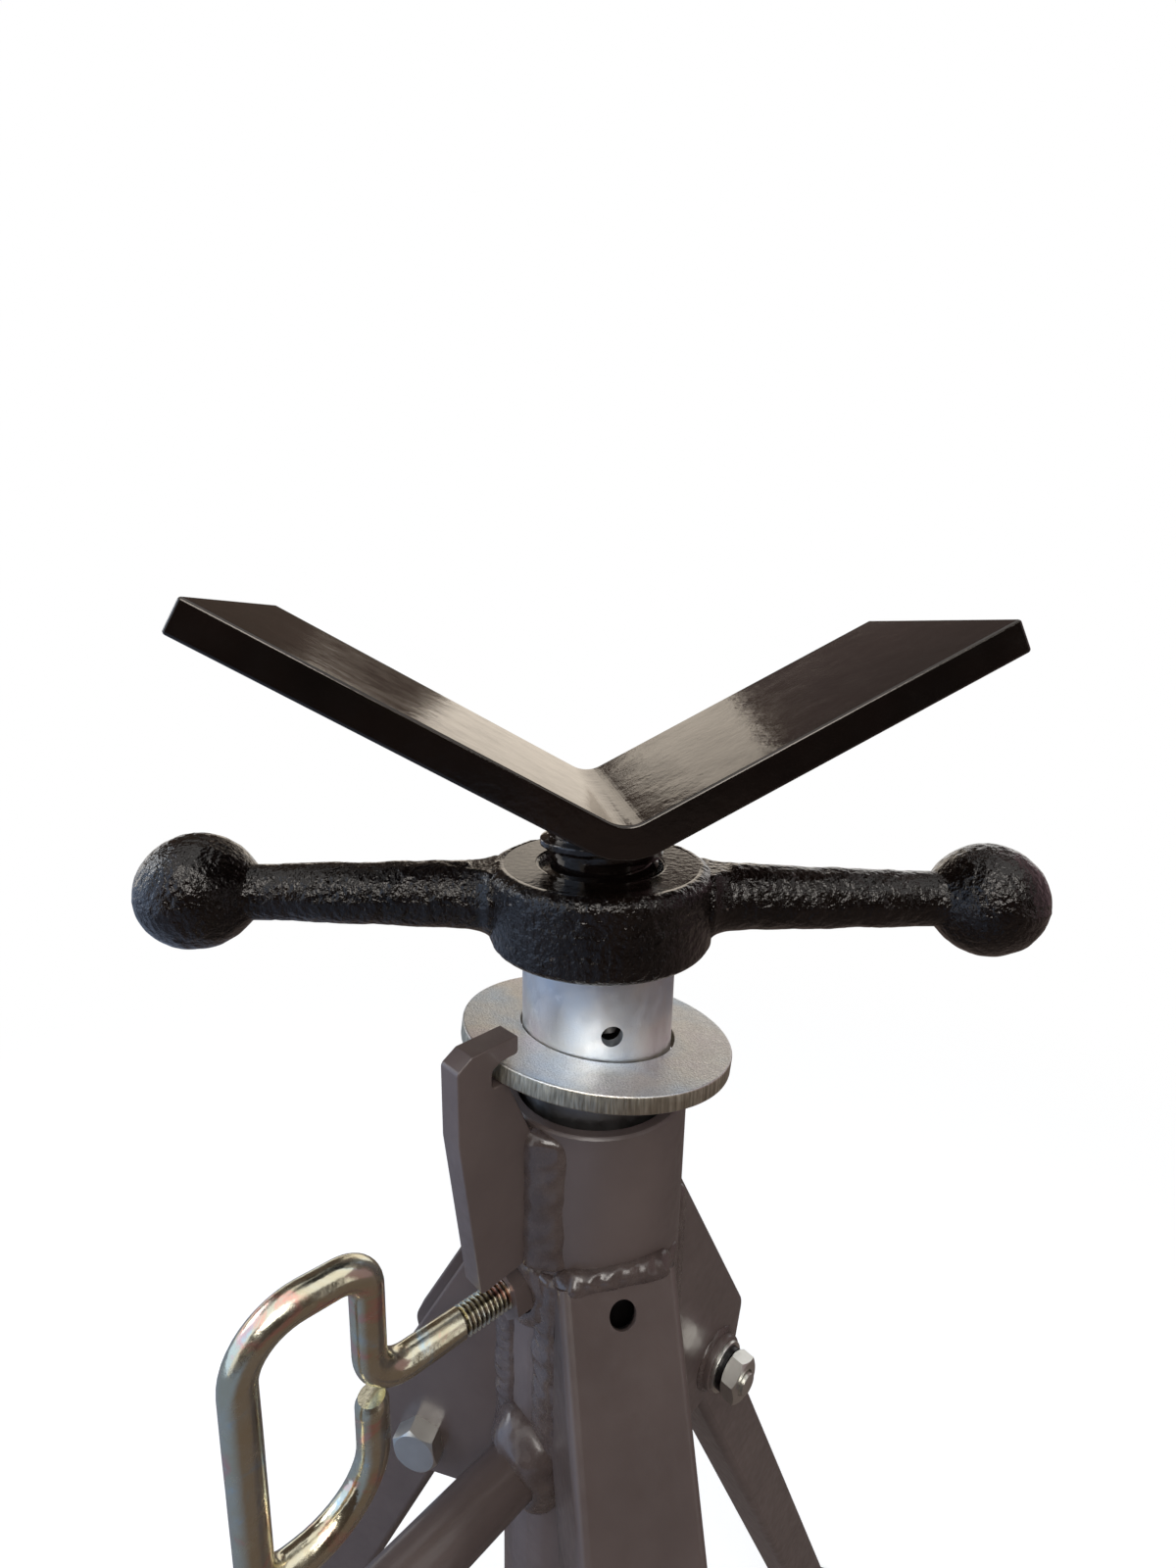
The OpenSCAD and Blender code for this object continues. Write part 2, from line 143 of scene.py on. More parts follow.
def place(az, out, side, z):
    """The point that far out from the post's axis at an azimuth, moved sideways, at a height."""
    return Vector((0, AXIS_Y, z)) + out_dir(az) * out + side_dir(az) * side


def level_dir(angle):
    """The level direction at an angle in radians, from +X towards +Y."""
    return Vector((math.cos(angle), math.sin(angle), 0))


def circle(count):
    """Equally spaced angles round a circle."""
    return [math.tau * i / count for i in range(count)]


def clamped(value):
    return min(1.0, max(0.0, value))


# Node material helpers

class Finish:
    """A procedural material being built on one Principled shader."""

    def __init__(self, name, **values):
        self.mat = bpy.data.materials.new(name)
        self.mat.use_nodes = True
        self.tree = self.mat.node_tree
        self.bsdf = self.tree.nodes["Principled BSDF"]
        self.coords = self.tree.nodes.new("ShaderNodeTexCoord").outputs["Object"]
        self.fill(self.bsdf, values)

    def put(self, socket, value):
        """Sets a socket to a constant, or links another node's output to it."""
        if isinstance(value, bpy.types.NodeSocket):
            self.tree.links.new(value, socket)
        else:
            socket.default_value = value

    def fill(self, node, values):
        """Fills a node's inputs; an underscore in a name stands for a space."""
        for name, value in values.items():
            self.put(node.inputs[name.replace("_", " ")], value)

    def node(self, kind, **values):
        made = self.tree.nodes.new("ShaderNode" + kind)
        self.fill(made, values)
        return made

    def noise(self, scale, detail, rough=0.5, distort=0.0, vector=None):
        made = self.node("TexNoise", Vector=vector or self.coords, Scale=scale, Detail=detail,
                         Roughness=rough, Distortion=distort)
        return made.outputs["Fac"]

    def cells(self, scale):
        return self.node("TexVoronoi", Vector=self.coords, Scale=scale).outputs["Distance"]

    def ramp(self, fac, stops):
        """Colours at the given positions of a factor."""
        made = self.node("ValToRGB", Fac=fac)
        ramp = made.color_ramp
        while len(ramp.elements) < len(stops):
            ramp.elements.new(0.5)
        for element, (position, colour) in zip(ramp.elements, stops):
            element.position = position
            element.color = (*colour, 1)
        return made.outputs["Color"]

    def level(self, fac, low_in, high_in, low_out, high_out):
        """A value carried from one range into another."""
        made = self.node("MapRange", Value=fac, From_Min=low_in, From_Max=high_in, To_Min=low_out,
                         To_Max=high_out)
        return made.outputs["Result"]

    def wander(self, scale, detail, least, most):
        """A value that wanders between two limits over the surface."""
        return self.level(self.noise(scale, detail), 0.3, 0.7, least, most)

    def mottle(self, scale, detail, dark, light, dark_at=0.3, light_at=0.7):
        """Two colours that wander into each other over the surface."""
        return self.ramp(self.noise(scale, detail), [(dark_at, dark), (light_at, light)])

    def times(self, a, b):
        made = self.tree.nodes.new("ShaderNodeMath")
        made.operation = "MULTIPLY"
        self.put(made.inputs[0], a)
        self.put(made.inputs[1], b)
        return made.outputs["Value"]

    def mix(self, fac, a, b, blend="MIX"):
        made = self.tree.nodes.new("ShaderNodeMix")
        made.data_type = "RGBA"
        made.blend_type = blend
        for name, value in (("Factor", fac), ("A", a), ("B", b)):
            self.put(made.inputs[name], (*value, 1) if isinstance(value, tuple) else value)
        return made.outputs["Result"]

    def height(self):
        return self.node("SeparateXYZ", Vector=self.coords).outputs["Z"]

    def axis_distance(self, point, axis):
        """Distance of the shaded point from a line."""
        arm = self.vectors("SUBTRACT", self.coords, point).outputs["Vector"]
        across = self.vectors("CROSS_PRODUCT", arm, axis).outputs["Vector"]
        return self.vectors("LENGTH", across).outputs["Value"]

    def vectors(self, kind, *values):
        made = self.tree.nodes.new("ShaderNodeVectorMath")
        made.operation = kind
        for socket, value in zip(made.inputs, values):
            self.put(socket, value)
        return made

    def facing_up(self):
        """How far the surface faces up or down, from 0 to 1."""
        normal = self.tree.nodes.new("ShaderNodeNewGeometry").outputs["Normal"]
        made = self.tree.nodes.new("ShaderNodeMath")
        made.operation = "ABSOLUTE"
        self.put(made.inputs[0], self.node("SeparateXYZ", Vector=normal).outputs["Z"])
        return made.outputs["Value"]

    def done(self, colour, roughness, bumps):
        """Links the colour, the roughness and the (height, strength, depth) bumps, and gives the material."""
        normal = None
        for bump_height, strength, depth in bumps:
            made = self.node("Bump", Height=bump_height, Strength=strength, Distance=depth)
            if normal:
                self.put(made.inputs["Normal"], normal)
            normal = made.outputs["Normal"]
        self.fill(self.bsdf, {"Base Color": colour, "Roughness": roughness, "Normal": normal,
                              "Coat Normal": normal})
        return self.mat


# Finishes

WARM = (1, 0.92, 0.84, 1)


def frame_paint():
    """Brown-grey enamel with fine orange peel; near black inside the fixed leg, painted shade of the hollow
    over its bare steel.
    """
    f = Finish("frame_paint", Coat_Weight=0.3, Coat_Roughness=0.14)
    paint = f.mottle(35, 4, (0.088, 0.064, 0.058), (0.114, 0.084, 0.076))
    # Inside the hollow fixed leg the colour goes near black: bare steel there, painted much darker as the
    # hollow's shade.
    leg_axis = Z * math.cos(SPLAY) - out_dir(0) * math.sin(SPLAY)
    from_leg_axis = f.axis_distance(place(0, FOOT_R, 0, 0), leg_axis)
    leg_hollow_shade = f.level(from_leg_axis, LEG_INSIDE, LEG_INSIDE + 1 * MM, 1, 0)
    colour = f.mix(leg_hollow_shade, paint, (0.004, 0.003, 0.003))
    orange_peel = (f.noise(2600, 2), 0.3, 0.06 * MM)
    waves = (f.noise(90, 2), 0.12, 0.5 * MM)
    return f.done(colour, f.wander(240, 3, 0.3, 0.44), [orange_peel, waves])


def weld_paint():
    """The same enamel pooled on weld beads."""
    f = Finish("weld_paint", Coat_Roughness=0.08)
    f.fill(f.bsdf, {"Coat Weight": f.level(f.noise(30, 2), 0.4, 0.62, 0.1, 0.9)})
    colour = f.mottle(160, 4, (0.06, 0.042, 0.038), (0.094, 0.069, 0.061))
    bumps = [(f.noise(900, 3), 0.3, 0.12 * MM), (f.noise(300, 3), 0.3, 0.3 * MM)]
    return f.done(colour, f.wander(500, 3, 0.2, 0.36), bumps)


def black_paint():
    """Thick black paint on the vee and screw, with a few chips."""
    f = Finish("black_paint", Coat_Weight=0.5, Coat_Roughness=0.06, Coat_Tint=WARM, Specular_Tint=WARM)
    chips = f.level(f.noise(330, 6, 0.75), 0.72, 0.75, 0, 1)
    smear = f.mottle(22, 4, (0.002, 0.0015, 0.0015), (0.009, 0.005, 0.004), 0.35, 0.75)
    colour = f.mix(chips, smear, (0.12, 0.09, 0.078))
    grain = (f.noise(1300, 3), 0.3, 0.06 * MM)
    specks = (f.noise(420, 3), 0.3, 0.16 * MM)
    waves = (f.noise(90, 3), 0.2, 0.8 * MM)
    return f.done(colour, f.wander(120, 4, 0.08, 0.22), [grain, specks, waves])


def cast_black():
    """Black paint over a sand casting: grainy and pitted, smoother on the hub's turned top."""
    f = Finish("cast_black", Coat_Weight=0.75, Coat_Roughness=0.05, Coat_Tint=WARM, Specular_Tint=WARM,
               Specular_IOR_Level=0.1)
    hub_top = SEAT_Z + HUB_H
    high_up = f.level(f.height(), hub_top - 0.8 * MM, hub_top - 0.3 * MM, 0, 1)
    from_axis = f.axis_distance(Vector((0, AXIS_Y, 0)), Z)
    turned = f.times(high_up, f.level(from_axis, HUB_R - 4.5 * MM, HUB_R - 3.5 * MM, 1, 0))
    rough = f.level(turned, 0, 1, 1, 0.12)
    pits = f.level(f.noise(400, 5, 0.7), 0.68, 0.72, 0, 1)
    base = f.mottle(60, 4, (0.0015, 0.001, 0.001), (0.008, 0.005, 0.004), 0.3, 0.75)
    colour = f.mix(pits, base, (0.085, 0.066, 0.058))
    grain = (f.times(f.noise(1100, 2), rough), 1.0, 0.14 * MM)
    specks = (f.times(f.noise(480, 3), rough), 1.0, 0.9 * MM)
    lumps = (f.times(f.cells(300), rough), 0.3, 0.3 * MM)
    return f.done(colour, f.wander(260, 4, 0.1, 0.24), [grain, specks, lumps])


def zinc_satin():
    """Dull galvanised tube with a dark band just under the disc: painted shade of the disc, with some grime
    where the post's top rubs on it.
    """
    f = Finish("zinc_satin", Metallic=1.0)
    tints = [(0.3, (0.7, 0.8, 0.93)), (0.55, (0.84, 0.83, 0.82)), (0.75, (0.82, 0.72, 0.77))]
    plain_zinc = f.ramp(f.noise(30, 5), tints)
    # The band's darker colour is painted shade of the disc over the tube, with some grime.
    under_disc = f.level(f.height(), POST_TOP + 4 * MM, POST_TOP + 12 * MM, 1, 0)
    over_inside = f.level(f.height(), POST_TOP - 90 * MM, POST_TOP - 12 * MM, 0, 1)
    colour = f.mix(f.times(under_disc, over_inside), plain_zinc, (0.27, 0.26, 0.255))
    bumps = [(f.noise(1600, 3), 0.5, 0.1 * MM), (f.noise(60, 2), 0.1, 0.4 * MM)]
    return f.done(colour, f.wander(300, 4, 0.4, 0.56), bumps)


def disc_zinc():
    """Zinc plated plate: speckled faces and a sheared, yellower rim."""
    f = Finish("disc_zinc", Metallic=1.0)
    tints = [(0.32, (0.72, 0.82, 0.92)), (0.5, (0.88, 0.86, 0.81)), (0.7, (0.86, 0.78, 0.81))]
    grain = f.ramp(f.cells(1500), [(0.1, (0.62, 0.62, 0.62)), (0.5, (1, 1, 1))])
    faces = f.mix(0.7, f.ramp(f.noise(26, 3), tints), grain, "MULTIPLY")
    upright = f.node("Mapping", Vector=f.coords, Scale=(1400, 1400, 50)).outputs["Vector"]
    shear = f.noise(1, 3, vector=upright)
    rim = f.ramp(shear, [(0.3, (0.34, 0.31, 0.24)), (0.7, (0.78, 0.74, 0.61))])
    colour = f.mix(f.level(f.facing_up(), 0.5, 0.7, 0, 1), rim, faces)
    bumps = [(shear, 0.6, 0.3 * MM), (f.noise(1700, 2), 0.35, 0.1 * MM)]
    return f.done(colour, f.wander(420, 4, 0.36, 0.54), bumps)


def plated_rod(name, painted_valley_shade=False):
    """Yellow-iridescent zinc of the clamp screw; on its thread the valleys are painted darker as shade."""
    f = Finish(name, Metallic=1.0)
    tints = [(0.26, (0.6, 0.82, 0.95)), (0.4, (0.8, 0.77, 0.61)), (0.56, (0.78, 0.71, 0.51)),
             (0.64, (0.95, 0.56, 0.46)), (0.7, (0.78, 0.76, 0.62))]
    colour = f.ramp(f.noise(48, 4, 0.6, 1.2), tints)
    if painted_valley_shade:
        # Painted shade: the thread's valleys are coloured darker than its crests.
        from_axis = f.axis_distance(place(CLAMP_AZ, 0, 0, CLAMP_Z), out_dir(CLAMP_AZ))
        crest = f.level(from_axis, CLAMP_R - 0.85 * MM, CLAMP_R - 0.5 * MM, 0, 1)
        colour = f.mix(crest, (0.12, 0.1, 0.075), colour)
    bumps = [(f.noise(800, 4), 0.35, 0.14 * MM), (f.noise(130, 2), 0.2, 0.5 * MM)]
    return f.done(colour, f.wander(220, 4, 0.12, 0.3), bumps)


def bolt_zinc():
    f = Finish("bolt_zinc", Metallic=1.0)
    colour = f.mottle(120, 4, (0.7, 0.69, 0.64), (0.8, 0.79, 0.74))
    return f.done(colour, f.wander(500, 4, 0.28, 0.4), [(f.noise(600, 3), 0.15, 0.08 * MM)])


def dark_spring_steel():
    f = Finish("dark_spring_steel", Metallic=1.0)
    colour = f.mottle(300, 4, (0.03, 0.03, 0.032), (0.09, 0.088, 0.09))
    return f.done(colour, f.wander(500, 3, 0.25, 0.45), [(f.noise(900, 3), 0.2, 0.1 * MM)])


PAINT = frame_paint()
WELD = weld_paint()
BLACK = black_paint()
CAST = cast_black()
SATIN = zinc_satin()
DISC = disc_zinc()
ROD = plated_rod("rod_zinc")
ROD_THREAD = plated_rod("rod_zinc_thread", painted_valley_shade=True)
BOLT = bolt_zinc()
SPRING = dark_spring_steel()


# Mesh helpers

def placed(name, data):
    """An object of some data, linked into the scene."""
    obj = bpy.data.objects.new(name, data)
    bpy.context.scene.collection.objects.link(obj)
    return obj


def piece(name, verts, faces, material, body, sharp=40):
    """A smooth-shaded mesh piece that rides on a CAD body."""
    mesh = bpy.data.meshes.new(name)
    mesh.from_pydata(verts, [], faces)
    fix = bmesh.new()
    fix.from_mesh(mesh)
    bmesh.ops.recalc_face_normals(fix, faces=fix.faces)
    fix.to_mesh(mesh)
    fix.free()
    mesh.polygons.foreach_set("use_smooth", [True] * len(mesh.polygons))
    mesh.set_sharp_from_angle(angle=math.radians(sharp))
    mesh.materials.append(material)
    obj = placed(name, mesh)
    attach(obj, body)
    return obj


def paint_node(node, material):
    mesh = frame["nodes"][node].data
    mesh.materials.clear()
    mesh.materials.append(material)


def soften(node, width):
    """Rounds a CAD node's sharp edges with modifiers; its mesh stays as imported."""
    obj = frame["nodes"][node]
    weld = obj.modifiers.new("weld", "WELD")
    weld.merge_threshold = 0.01 * MM
    flat = obj.modifiers.new("flat", "DECIMATE")
    flat.decimate_type = "DISSOLVE"
    flat.angle_limit = math.radians(0.6)
    edge = obj.modifiers.new("edge", "BEVEL")
    edge.width = width
    edge.segments = 3
    edge.limit_method = "ANGLE"
    edge.angle_limit = math.radians(32)
    edge.use_clamp_overlap = True
    edge.harden_normals = True


def skin(rings, closed_path=False):
    """Vertices and faces of a skin over equal rings of points; the ends of an open path are capped."""
    verts = [point for ring in rings for point in ring]
    count = len(rings[0])
    numbers = [list(range(i * count, (i + 1) * count)) for i in range(len(rings))]
    following = numbers[1:] + numbers[:1] if closed_path else numbers[1:]
    faces = []
    for a, b in zip(numbers, following):
        for k in range(count):
            n = (k + 1) % count
            faces.append((a[k], a[n], b[n], b[k]))
    if not closed_path:
        faces.append(tuple(reversed(numbers[0])))
        faces.append(tuple(numbers[-1]))
    return verts, faces


def frames_along(points):
    """Two normals at every point of a path, square to it and without twist."""
    frames = []
    normal = None
    for i in range(len(points)):
        ahead = points[min(i + 1, len(points) - 1)]
        behind = points[max(i - 1, 0)]
        tangent = (ahead - behind).normalized()
        if normal is None:
            normal = tangent.orthogonal().normalized()
        normal = (normal - tangent * normal.dot(tangent)).normalized()
        frames.append((normal, tangent.cross(normal)))
    return frames


BEND_STEPS = 12


def rounded_path(corners, radii, step):
    """A path through corners, each one turned with its own bend radius."""
    path = [corners[0]]
    for i in range(1, len(corners) - 1):
        back = (corners[i - 1] - corners[i]).normalized()
        ahead = (corners[i + 1] - corners[i]).normalized()
        half = back.angle(ahead) / 2
        inset = radii[i - 1] / math.tan(half)
        middle = corners[i] + (back + ahead).normalized() * (radii[i - 1] / math.sin(half))
        start = corners[i] + back * inset - middle
        turn = math.pi - 2 * half
        axis = start.cross(corners[i] + ahead * inset - middle).normalized()
        for k in range(BEND_STEPS + 1):
            path.append(middle + Matrix.Rotation(turn * k / BEND_STEPS, 3, axis) @ start)
    path.append(corners[-1])
    return resampled(path, step)


def resampled(path, step):
    """The same path with points at most that far apart."""
    result = [path[0]]
    for a, b in zip(path, path[1:]):
        pieces = max(1, math.ceil((b - a).length / step))
        result += [a.lerp(b, k / pieces) for k in range(1, pieces + 1)]
    return result


# Threads, bolts and the bent rod

THREAD_STEPS = 64
THREAD_RUN_OUT = 0.35

# Where a thread's ridge starts, reaches its crest, leaves it and ends, as parts of the pitch

SCREW_RIDGE = (0.19, 0.31, 0.69, 0.81)
CLAMP_RIDGE = (0.1, 0.42, 0.58, 0.9)
BOLT_RIDGE = (0.05, 0.42, 0.58, 0.95)


def thread_point(origin, axis, across, z, angle, radius):
    other = axis.cross(across)
    return origin + axis * z + (across * math.cos(angle) + other * math.sin(angle)) * radius


def helix(name, origin, axis, length, root, crest, pitch, ridge, material, body):
    """A solid bar with one helical ridge that fades out at both ends."""
    across = axis.orthogonal().normalized()
    turns = int(length / pitch) - 1
    start = (length - (turns + 1) * pitch) / 2
    count = THREAD_STEPS * turns
    verts = []
    for i in range(count + 1):
        angle = math.tau * i / THREAD_STEPS
        fade = min(1.0, i / THREAD_STEPS / THREAD_RUN_OUT, (count - i) / THREAD_STEPS / THREAD_RUN_OUT)
        for k, part in enumerate(ridge):
            radius = root + (crest - root) * fade * (1 if k in (1, 2) else 0)
            z = start + pitch * (i / THREAD_STEPS + part)
            verts.append(thread_point(origin, axis, across, z, angle, radius))
    faces = []
    for i in range(count):
        a, b = 4 * i, 4 * (i + 1)
        faces += [(a + k, b + k, b + k + 1, a + k + 1) for k in range(3)]
        if i + THREAD_STEPS < count:
            c = 4 * (i + THREAD_STEPS)
            faces.append((a + 3, b + 3, c + 4, c))
    close_helix(verts, faces, origin, axis, across, length, root, count)
    return piece(name, verts, faces, material, body, sharp=25)


def close_helix(verts, faces, origin, axis, across, length, root, count):
    """Adds the plain rings and the end faces that close a helical bar."""
    n = THREAD_STEPS
    first = len(verts)
    for z in (0, length):
        verts += [thread_point(origin, axis, across, z, angle, root) for angle in circle(n)]
    last = first + n
    for i in range(n - 1):
        faces.append((first + i, first + i + 1, 4 * (i + 1), 4 * i))
    faces.append((last - 1, first, 0, 1, 2, 3, 4 * n, 4 * (n - 1)))
    top = 4 * (count - n) + 3
    for i in range(n - 1):
        faces.append((top + 4 * i, top + 4 * (i + 1), last + i + 1, last + i))
    end = 4 * count
    faces.append((end - 1, end + 3, last, last + n - 1))
    faces.append((top, last, end + 3, end + 2, end + 1, end))
    faces.append(tuple(range(last - 1, first - 1, -1)))
    faces.append(tuple(range(last, last + n)))


def slope_top(radial):
    """Height of the vee's lower face above a direction from the screw's axis, at the screw's radius."""
    return VEE_APEX + abs(radial.dot(level_dir(VEE_TURN))) * SCREW_R * math.tan(VEE_RISE)


def threaded_neck():
    """The screw's welded end: the thread runs out below the vee and the top follows the vee's slopes."""
    levels = 44
    foot = SCREW_Z[1]
    grooved = 9 * MM
    groove = 2.4 * MM
    crest = SCREW_R - 0.05 * MM
    rings = []
    for j in range(levels + 1):
        ring = []
        for angle in circle(120):
            radial = level_dir(angle)
            z = foot + (slope_top(radial) - foot) * j / levels
            wave = math.cos(math.tau * (z - foot) / SCREW_PITCH - angle)
            fade = max(0.0, 1 - (z - foot) / grooved)
            depth = groove * clamped(0.5 - 0.9 * wave) * min(1.0, fade * 2.5)
            ring.append(Vector((0, AXIS_Y, z)) + radial * (crest - depth))
        rings.append(ring)
    verts, faces = skin(rings)
    neck = piece("threaded_neck", verts, faces, BLACK, "head", sharp=35)
    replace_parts(neck, "screw_neck")


def hex_radius(angle, flats):
    """Distance from the axis to a hexagon's side at an angle."""
    return flats / 2 / math.cos((angle % (math.pi / 3)) - math.pi / 6)


def hex_rings(origin, axis, across, height, flats, both_ends, bore):
    """Rings of a hexagon whose corners are turned off, from the bore round the outside and back."""
    crown = flats / 2 * 0.96
    chamfer = math.tan(math.radians(30))

    def ring(radius_at, z_at):
        points = []
        for angle in circle(72):
            radius = radius_at(angle)
            points.append(thread_point(origin, axis, across, z_at(radius), angle, radius))
        return points

    def shoulder(radius):
        return max(0.0, radius - crown) * chamfer

    rings = [ring(lambda a: bore, lambda r: 0)]
    if both_ends:
        rings.append(ring(lambda a: crown, lambda r: 0))
    rings.append(ring(lambda a: hex_radius(a, flats), lambda r: shoulder(r) if both_ends else 0))
    rings.append(ring(lambda a: hex_radius(a, flats), lambda r: height - shoulder(r)))
    rings.append(ring(lambda a: crown, lambda r: height))
    rings.append(ring(lambda a: bore, lambda r: height))
    return rings


def pivot_bolt(az, name):
    """A hexagonal head and a threaded bar."""
    side = side_dir(az)
    across = Matrix.Rotation(math.radians(12), 3, side) @ Z
    under_head = place(az, PIVOT_R, PLATE_OUT, PIVOT_Z)
    verts, faces = skin(hex_rings(under_head, side, across, BOLT_HEAD_H, BOLT_AF, False, 0.2 * MM))
    piece(name + "_head", verts, faces, BOLT, "frame", sharp=20)
    past_nut = 1.5 * MM
    start = place(az, PIVOT_R, NUT_END - past_nut, PIVOT_Z)
    length = PLATE_OUT - NUT_END + past_nut
    return helix(name + "_shank", start, side, length, BOLT_R - BOLT_GROOVE, BOLT_R, BOLT_PITCH, BOLT_RIDGE,
                 BOLT, "frame")


def pivot_nut(az, name):
    side = side_dir(az)
    across = Matrix.Rotation(math.radians(-8), 3, side) @ Z
    end = place(az, PIVOT_R, NUT_END, PIVOT_Z)
    rings = hex_rings(end, side, across, NUT_H, BOLT_AF, True, BOLT_R + 0.05 * MM)
    verts, faces = skin(rings, closed_path=True)
    return piece(name, verts, faces, BOLT, "frame", sharp=20)


def lock_washer(az, name):
    """A split spring ring whose ends stand slightly apart."""
    inner = BOLT_R + 0.3 * MM
    outer = BOLT_AF / 2 + 0.4 * MM
    thick = side_dir(az) * 1.8 * MM
    lift = 0.2 * MM
    gap = math.radians(14)
    steps = 64
    rings = []
    for i in range(steps + 1):
        angle = gap / 2 + (math.tau - gap) * i / steps
        radial = out_dir(az) * math.cos(angle) + Z * math.sin(angle)
        base = place(az, PIVOT_R, LOCK_END + lift * i / steps, PIVOT_Z)
        near, far = base + radial * inner, base + radial * outer
        rings.append([near, far, far + thick, near + thick])
    verts, faces = skin(rings)
    return piece(name, verts, faces, SPRING, "frame", sharp=30)


def clamp_loop():
    """The clamp screw's bar: a shank bent into a closed loop, with a rounded cut end."""
    shank = CLAMP_TIP + CLAMP_TURNS * CLAMP_PITCH
    near, far = shank + 27.6 * MM, shank + 60.6 * MM
    top, bottom = CLAMP_Z + 40 * MM, CLAMP_Z - 41.5 * MM
    cut_end = CLAMP_Z - CLAMP_R + 0.6 * MM
    corners = [(shank - 0.5 * MM, CLAMP_Z), (near, CLAMP_Z), (near, top), (far, top), (far, bottom),
               (near, bottom), (near, cut_end)]
    bends = [11 * MM, 8 * MM, 16 * MM, 8 * MM, 22 * MM]
    path = rounded_path([place(CLAMP_AZ, out, 0, z) for out, z in corners], bends, 1.2 * MM)
    rings = []
    for i, (point, (a, b)) in enumerate(zip(path, frames_along(path))):
        wobble = 1 + 0.012 * noise.noise(point * 90)
        to_end = len(path) - 1 - i
        rounding = 1 if i < len(path) / 2 else min(1, 0.8 + 0.1 * to_end)
        radius = CLAMP_R * wobble * rounding
        rings.append([point + (a * math.cos(t) + b * math.sin(t)) * radius for t in circle(32)])
    verts, faces = skin(rings)
    loop = piece("clamp_loop", verts, faces, ROD, "clamp_grip", sharp=50)
    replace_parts(loop, "clamp_handle")


# The cast nut

ARM_RISE = 14 * MM
ARM_Z = SEAT_Z + ARM_RISE
BALL_REACH = 123 * MM
BALL_R = 17.75 * MM
ARM_ROOT_R = 11 * MM
ARM_END_R = 8.1 * MM
BORE_R = SCREW_R + 0.25 * MM


def cast_relief(point, seam):
    """How far a point of the casting stands off its plain form; seam is its height over the parting line."""
    lumps = noise.noise(point * 85) * 0.4 * MM + noise.noise(point * 240) * 0.22 * MM
    pits = -max(0.0, noise.noise(point * 430 + Vector((7, 3, 1))) - 0.22) * 0.7 * MM
    grain = noise.noise(point * 900) * 0.06 * MM
    flash = 0.4 * MM * math.exp(-(seam / (0.6 * MM)) ** 2) * (0.6 + 0.6 * noise.noise(point * 300))
    return lumps + pits + grain + flash


def arc_points(middle, radius, start, end, count):
    """Points (radius, height) on an arc; angles in degrees."""
    angles = [math.radians(start + (end - start) * k / count) for k in range(count + 1)]
    return [(middle[0] + radius * math.cos(a), middle[1] + radius * math.sin(a)) for a in angles]


def hub_profile():
    """The hub's outline from the bore's foot round the outside to the bore's mouth."""
    low_round, high_round = 3 * MM, 4 * MM
    foot_z = 0.02 * MM
    bore_edge = 0.7 * MM
    low_flat = HUB_R - low_round - BORE_R
    high_flat = HUB_R - high_round - BORE_R
    upright = HUB_H - low_round - high_round
    outline = [(BORE_R + low_flat * k / 8, foot_z) for k in range(9)]
    outline += arc_points((HUB_R - low_round, low_round), low_round, -90, 0, 8)
    outline += [(HUB_R, low_round + upright * k / 24) for k in range(1, 24)]
    outline += arc_points((HUB_R - high_round, HUB_H - high_round), high_round, 0, 90, 9)
    outline += [(HUB_R - high_round - high_flat * k / 10, HUB_H) for k in range(1, 10)]
    outline += [(BORE_R + bore_edge, HUB_H), (BORE_R, HUB_H - bore_edge)]
    return outline


def hub_outward(radius, height, radial):
    """The way in which the hub's relief stands off; the turned top stays flat."""
    if radius > HUB_R - 2 * MM:
        return radial
    if radius > HUB_R - 4 * MM and height > HUB_H / 2:
        return (radial + Z).normalized()
    return Z * 0


def cast_hub():
    """The nut's hub: turned bore and top face, rough side with a rounded shoulder."""
    rings = []
    for angle in circle(220):
        radial = level_dir(angle)
        ring = []
        for radius, height in hub_profile():
            point = Vector((0, AXIS_Y, SEAT_Z + height)) + radial * radius
            off_bore = clamped((radius - BORE_R - 2 * MM) / (9 * MM))
            rough = off_bore * min(1.0, height / (2 * MM))
            shift = cast_relief(point, height - ARM_RISE) * rough
            ring.append(point + hub_outward(radius, height, radial) * shift)
        rings.append(ring)
    verts, faces = skin(rings, closed_path=True)
    hub = piece("cast_hub", verts, faces, CAST, "nut", sharp=50)
    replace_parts(hub, "jack_nut")


def arm_stations():
    """(distance from the axis, radius) along an arm: flared root, taper, fillet and ball."""
    blend = 2.2 * MM
    flare_size = 2.6 * MM
    inside = 24 * MM
    ball_steps, ball_start = 60, 0.12
    neck = BALL_REACH - math.sqrt(BALL_R ** 2 - ARM_END_R ** 2) - 6 * MM
    count = int((neck - inside) / (0.8 * MM))
    stations = []
    for k in range(count):
        x = inside + (neck - inside) * k / count
        radius = ARM_ROOT_R + (ARM_END_R - ARM_ROOT_R) * (x - inside) / (BALL_REACH - inside)
        flare = flare_size * math.exp(-max(0.0, x - HUB_R + 1 * MM) / flare_size)
        stations.append((x, radius + flare))
    for k in range(ball_steps + 1):
        turn = math.pi * (ball_start + (1 - ball_start) * k / ball_steps)
        x, ball = BALL_REACH - BALL_R * math.cos(turn), BALL_R * math.sin(turn)
        if x < neck:
            continue
        radius = max(ball, ARM_END_R) if x < BALL_REACH else ball
        gap = abs(ball - ARM_END_R)
        if x < BALL_REACH and gap < 2 * blend:
            radius += (2 * blend - gap) ** 2 / (8 * blend)
        stations.append((x, max(radius, 0.05 * MM)))
    return stations


